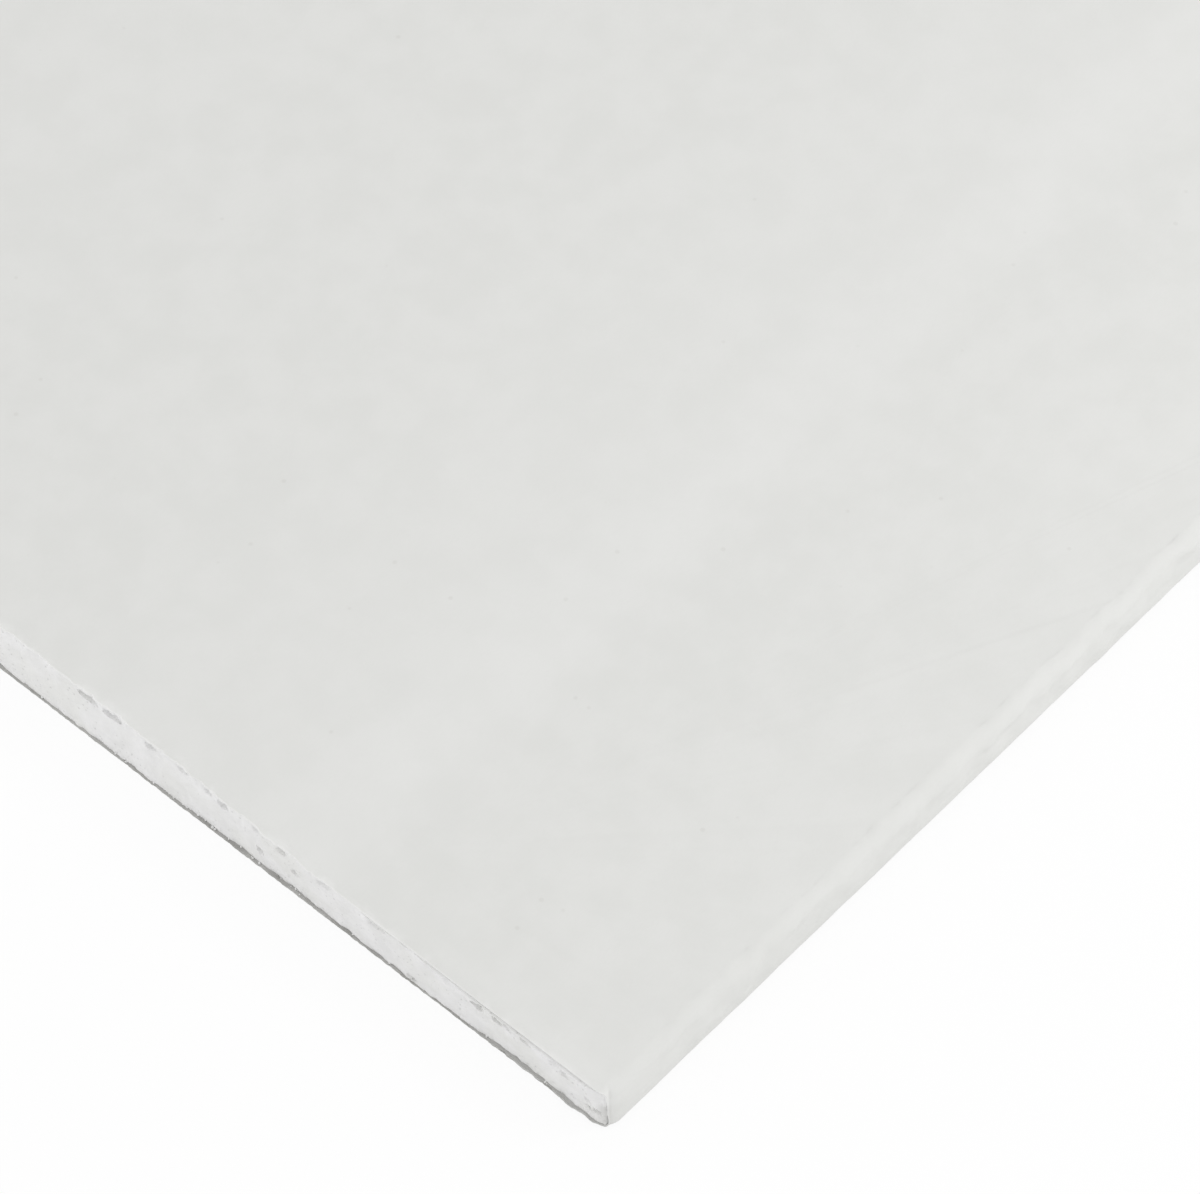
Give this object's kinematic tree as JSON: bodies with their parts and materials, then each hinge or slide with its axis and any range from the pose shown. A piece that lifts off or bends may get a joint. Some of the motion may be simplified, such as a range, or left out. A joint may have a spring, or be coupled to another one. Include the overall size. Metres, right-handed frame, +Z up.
{
  "type": "drywall sheet",
  "caption": "Flat rectangular drywall sheet: gypsum core in a pale face paper folded round tapered long edges, grey paper on the back, square-cut ends showing the core.",
  "frame": {"origin": "centre of the sheet's footprint, on the floor that it lies on, at the underside of the back paper", "axes": "+X along the eight-foot length, +Y across the four-foot width, +Z up out of the face"},
  "size_m": [2.4384, 1.2192, 0.0127],
  "materials": {
    "gypsum": "dry, chalky and porous, rough where it was cut",
    "face_paper": "smooth matt pale ivory-grey paper with faint flecks",
    "back_paper": "coarse matt grey recycled paper"
  },
  "bodies": {
    "root": {"gypsum_core": "gypsum", "face_paper": "face_paper", "back_paper": "back_paper"}
  },
  "joints": []
}
